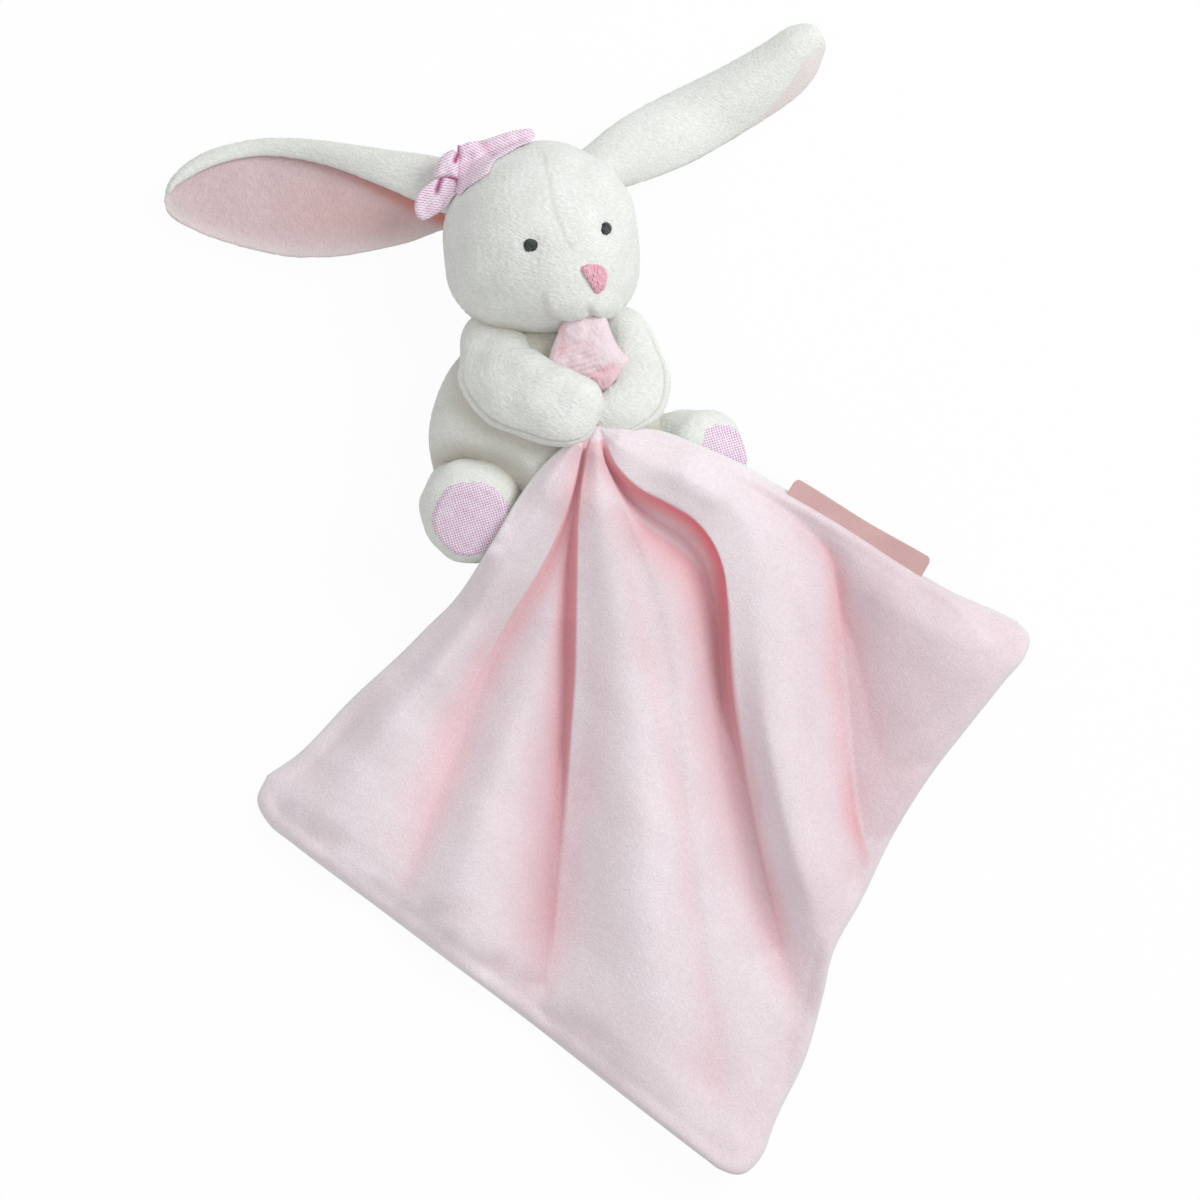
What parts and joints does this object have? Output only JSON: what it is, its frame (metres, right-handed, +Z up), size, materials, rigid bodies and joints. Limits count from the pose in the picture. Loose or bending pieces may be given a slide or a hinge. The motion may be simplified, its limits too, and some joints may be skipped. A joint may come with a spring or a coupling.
{
  "type": "comfort blanket lovey",
  "caption": "Small plush rabbit lying on its back, with long ears and a bow, whose paws hold the gathered edge of a square velour comfort blanket.",
  "frame": {"origin": "middle of the whole toy seen from above, on the surface that it lies on", "axes": "+Z up from the surface, towards the face and the belly; +Y from the blanket towards the head; +X to the right of someone looking down on the toy"},
  "size_m": [0.2804, 0.3758, 0.0612],
  "materials": {
    "plush": "short cream plush pile, matte",
    "ear_lining": "short pale pink velour pile, matte",
    "pink_velour": "short pale pink velour pile, matte",
    "white_velour": "short off-white velour pile, matte",
    "woven_cotton": "plain weave of lavender and pink yarns, matte",
    "stuffing": "loose white polyester fibre",
    "dark_thread": "dark grey embroidery thread, slight sheen",
    "pink_thread": "pink embroidery thread, slight sheen",
    "label_satin": "dusty pink satin ribbon, soft sheen"
  },
  "bodies": {
    "torso": {"body_back_panel": "plush", "body_front_panel": "plush", "body_stuffing": "stuffing"},
    "head": {"head_left_panel": "plush", "head_right_panel": "plush", "head_stuffing": "stuffing", "left_eye": "dark_thread", "right_eye": "dark_thread", "nose": "pink_thread", "bow_knot": "woven_cotton", "bow_left_end": "woven_cotton", "bow_right_end": "woven_cotton"},
    "left_ear": {"left_ear_back": "plush", "left_ear_lining": "ear_lining"},
    "right_ear": {"right_ear_back": "plush", "right_ear_lining": "ear_lining"},
    "arms": {"left_arm_cover": "plush", "left_arm_stuffing": "stuffing", "right_arm_cover": "plush", "right_arm_stuffing": "stuffing", "blanket_tuft": "pink_velour"},
    "left_leg": {"left_leg_cover": "plush", "left_leg_stuffing": "stuffing", "left_sole_pad": "woven_cotton"},
    "right_leg": {"right_leg_cover": "plush", "right_leg_stuffing": "stuffing", "right_sole_pad": "woven_cotton"},
    "blanket": {"blanket_front": "pink_velour", "blanket_back": "white_velour"},
    "label": {"label": "label_satin"}
  },
  "joints": [
    {"name": "neck_nod", "type": "hinge", "parent": "torso", "child": "head", "pos_m": [-0.01837, 0.08843, 0.0435], "axis": [1, 0, 0], "range_deg": [0, 12]},
    {"name": "left_ear_lift", "type": "hinge", "parent": "head", "child": "left_ear", "pos_m": [-0.0582, 0.13088, 0.01803], "axis": [0, 1, 0], "range_deg": [0, 60]},
    {"name": "right_ear_lift", "type": "hinge", "parent": "head", "child": "right_ear", "pos_m": [0.01009, 0.1459, 0.01759], "axis": [0.5417, -0.8406, 0], "range_deg": [0, 60]},
    {"name": "shoulder_lift", "type": "hinge", "parent": "torso", "child": "arms", "pos_m": [-0.01737, 0.08413, 0.045], "axis": [-1, 0, 0], "range_deg": [0, 10]},
    {"name": "blanket_lift", "type": "hinge", "parent": "arms", "child": "blanket", "pos_m": [0.00063, 0.05425, 0.0468], "axis": [-1, 0, 0], "range_deg": [0, 60]},
    {"name": "label_fold", "type": "hinge", "parent": "blanket", "child": "label", "pos_m": [0.06067, 0.04004, 0.02075], "axis": [0.8121, -0.53, -0.2442], "range_deg": [0, 60]},
    {"name": "left_hip_swing", "type": "hinge", "parent": "torso", "child": "left_leg", "pos_m": [-0.02487, 0.03913, 0.0225], "axis": [0, 0, -1], "range_deg": [0, 15]},
    {"name": "right_hip_swing", "type": "hinge", "parent": "torso", "child": "right_leg", "pos_m": [-0.00237, 0.04453, 0.0225], "axis": [0, 0, 1], "range_deg": [0, 12]}
  ]
}
